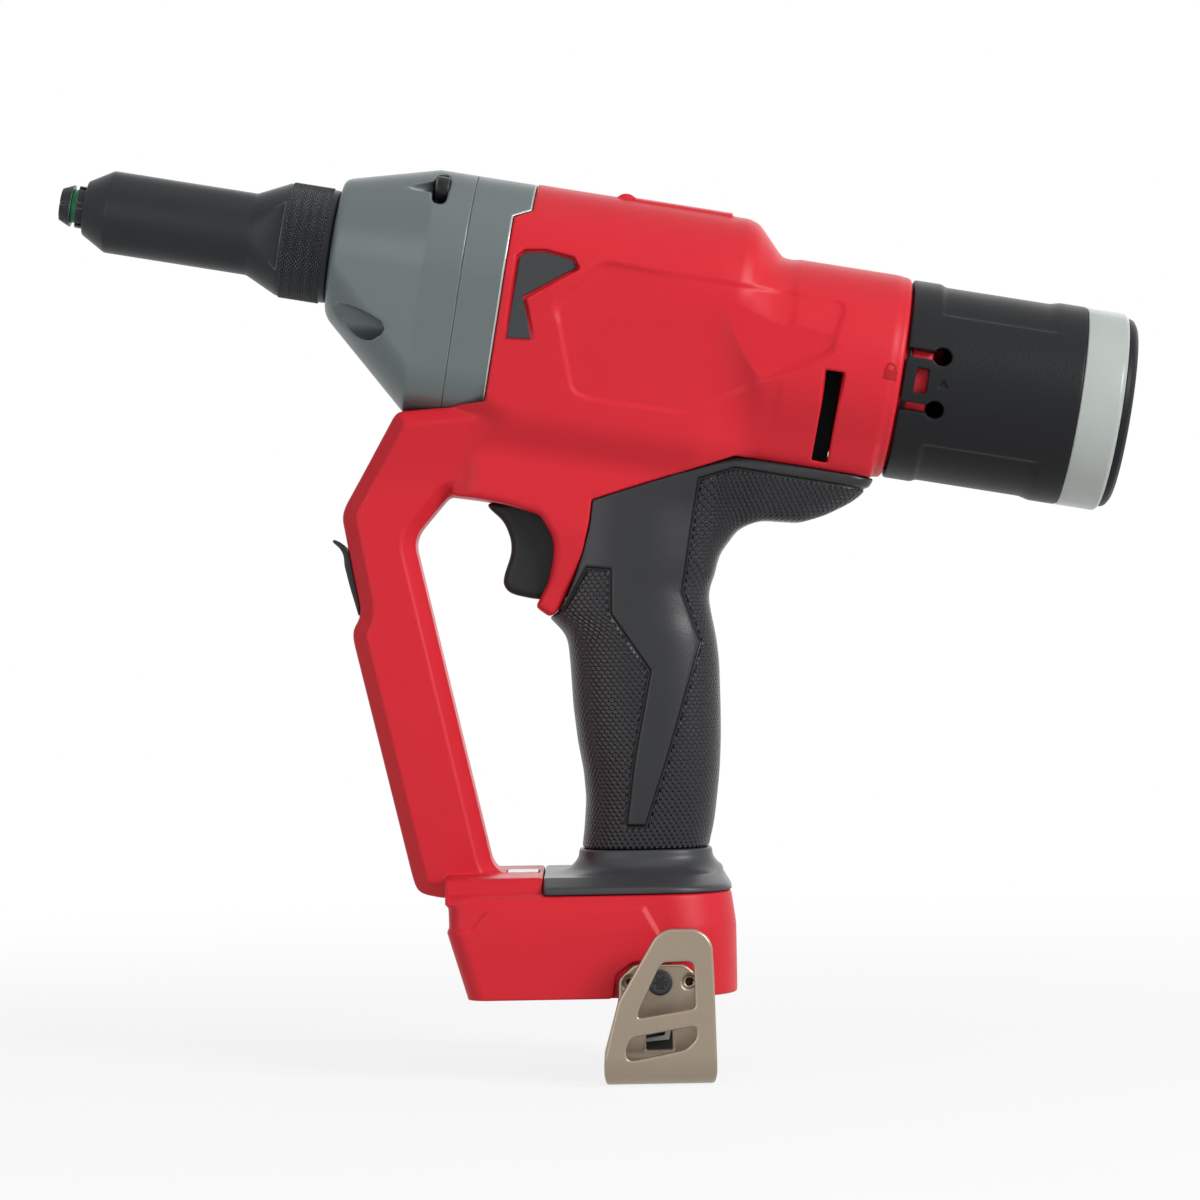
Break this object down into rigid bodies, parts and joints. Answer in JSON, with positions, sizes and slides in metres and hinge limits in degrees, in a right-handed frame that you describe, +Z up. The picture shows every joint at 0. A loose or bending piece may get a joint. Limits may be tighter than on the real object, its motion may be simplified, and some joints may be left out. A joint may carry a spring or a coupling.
{
  "type": "battery rivet tool",
  "caption": "Cordless pistol-grip rivet tool with a tilted pull barrel, cast gear case, closed finger loop, battery foot with belt hook and a twist-off mandrel cup.",
  "frame": {"origin": "middle of the battery seat, on the underside of the foot", "axes": "+X rearwards from the nose, +Y across to the right-hand side, +Z up; the barrel is tilted 10 degrees nose up in the X-Z plane"},
  "size_m": [0.317, 0.0952, 0.267],
  "materials": {
    "red_shell": "fine moulded texture",
    "grip_rubber": "moulded, part textured",
    "cast_case": "painted die casting",
    "black_screw": "black oxide",
    "grey_inlay": "moulded",
    "black_steel": "satin black oxide",
    "green_ring": "moulded",
    "light_lens": "smoked clear",
    "light_chip": "moulded",
    "status_lens": "frosted",
    "black_plastic": "moulded",
    "spring_steel": "drawn wire",
    "circuit_board": "solder resist",
    "motor_iron": "laminated",
    "bearing_steel": "ground",
    "gear_steel": "machined",
    "jaw_steel": "hardened",
    "contact_brass": "stamped",
    "hook_metal": "plated sheet",
    "screw_steel": "plated",
    "seal_rubber": "moulded",
    "cup_black": "satin moulded",
    "cup_clear": "clear moulded"
  },
  "bodies": {
    "tool_body": {"left_housing": "red_shell", "right_housing": "red_shell", "housing_screws": "black_screw", "left_grip": "grip_rubber", "right_grip": "grip_rubber", "grip_boot": "grip_rubber", "gearcase_front": "cast_case", "gearcase_rear": "cast_case", "gearcase_screws": "black_screw", "side_inlays": "grey_inlay", "nose_housing": "black_steel", "nosepiece": "black_steel", "nosepiece_ring": "green_ring", "led_lens": "light_lens", "led_module": "light_chip", "status_light": "status_lens", "trigger_spring": "spring_steel", "trigger_switch": "black_plastic", "control_board": "circuit_board", "motor_stator": "motor_iron", "motor_bearing": "bearing_steel", "reduction_unit": "gear_steel", "idler_pin": "gear_steel", "thrust_bearing": "bearing_steel", "nut_bearing": "bearing_steel", "guide_tube": "black_plastic", "air_baffle": "black_plastic", "terminal_block": "black_plastic", "terminal_blades": "contact_brass", "hook_inserts": "contact_brass", "belt_hook": "hook_metal", "hook_screw": "screw_steel"},
    "nut": {"drive_nut": "gear_steel"},
    "idler": {"idler_gear": "gear_steel"},
    "pinion": {"output_pinion": "gear_steel"},
    "rotor": {"motor_rotor": "motor_iron", "motor_fan": "black_plastic"},
    "puller": {"pull_screw": "gear_steel", "jaw_case": "jaw_steel", "mandrel_tube": "gear_steel", "jaw_spring": "spring_steel"},
    "pusher": {"jaw_pusher": "jaw_steel"},
    "jaw_a": {"jaw_1": "jaw_steel"},
    "jaw_b": {"jaw_2": "jaw_steel"},
    "jaw_c": {"jaw_3": "jaw_steel"},
    "trigger_body": {"trigger": "black_plastic"},
    "seal_body": {"cup_seal": "seal_rubber"},
    "cup": {"cup_body": "cup_black", "cup_window": "cup_clear", "cup_cap": "cup_black"}
  },
  "joints": [
    {"name": "nut_spin", "type": "hinge", "parent": "tool_body", "child": "nut", "pos_m": [-0.0197, 0, 0.20967], "axis": [0.9848, 0, -0.1736], "range_deg": [0, 1800]},
    {"name": "pull_slide", "type": "slide", "parent": "tool_body", "child": "puller", "axis": [0.9848, 0, -0.1736], "range_m": [-0.0001, 0.0281]},
    {"name": "idler_spin", "type": "hinge", "parent": "tool_body", "child": "idler", "pos_m": [-0.01323, 0.01109, 0.18298], "axis": [0.9848, 0, -0.1736], "range_deg": [-4810, 10]},
    {"name": "pinion_spin", "type": "hinge", "parent": "tool_body", "child": "pinion", "pos_m": [-0.01511, 0, 0.17231], "axis": [0.9848, 0, -0.1736], "range_deg": [-10, 4510]},
    {"name": "rotor_spin", "type": "hinge", "parent": "tool_body", "child": "rotor", "pos_m": [0.02329, 0, 0.16554], "axis": [0.9848, 0, -0.1736], "range_deg": [-10, 20260]},
    {"name": "pusher_slide", "type": "slide", "parent": "puller", "child": "pusher", "axis": [0.9848, 0, -0.1736], "range_m": [0, 0.0024], "stiffness_N_per_m": 2000, "springref_m": -0.002, "deforming": ["jaw_spring"]},
    {"name": "jaw_a_slide", "type": "slide", "parent": "puller", "child": "jaw_a", "axis": [1, 0, 0.0014], "range_m": [-0.0001, 0.00246]},
    {"name": "jaw_b_slide", "type": "slide", "parent": "puller", "child": "jaw_b", "axis": [0.9544, -0.1516, -0.2572], "range_m": [-0.0001, 0.00246]},
    {"name": "jaw_c_slide", "type": "slide", "parent": "puller", "child": "jaw_c", "axis": [0.9544, 0.1516, -0.2572], "range_m": [-0.0001, 0.00246]},
    {"name": "trigger_slide", "type": "slide", "parent": "tool_body", "child": "trigger_body", "axis": [0.9848, 0, -0.1736], "range_m": [0, 0.006], "stiffness_N_per_m": 600, "springref_m": -0.004, "deforming": ["trigger_spring"]},
    {"name": "cup_pull", "type": "slide", "parent": "tool_body", "child": "seal_body", "axis": [0.9848, 0, -0.1736], "range_m": [0, 0.045]},
    {"name": "cup_twist", "type": "hinge", "parent": "seal_body", "child": "cup", "pos_m": [0.11606, 0, 0.17335], "axis": [0.9848, 0, -0.1736], "range_deg": [0, 30]}
  ],
  "couplings": [
    {"joint": "pull_slide", "follows": "nut_spin", "m_per_rad": 0.00089127},
    {"joint": "idler_spin", "follows": "nut_spin", "ratio": -2.6667},
    {"joint": "pinion_spin", "follows": "nut_spin", "ratio": 2.5},
    {"joint": "rotor_spin", "follows": "nut_spin", "ratio": 11.25},
    {"joint": "jaw_a_slide", "follows": "pusher_slide", "ratio": 1.0157},
    {"joint": "jaw_b_slide", "follows": "pusher_slide", "ratio": 1.0157},
    {"joint": "jaw_c_slide", "follows": "pusher_slide", "ratio": 1.0157}
  ]
}
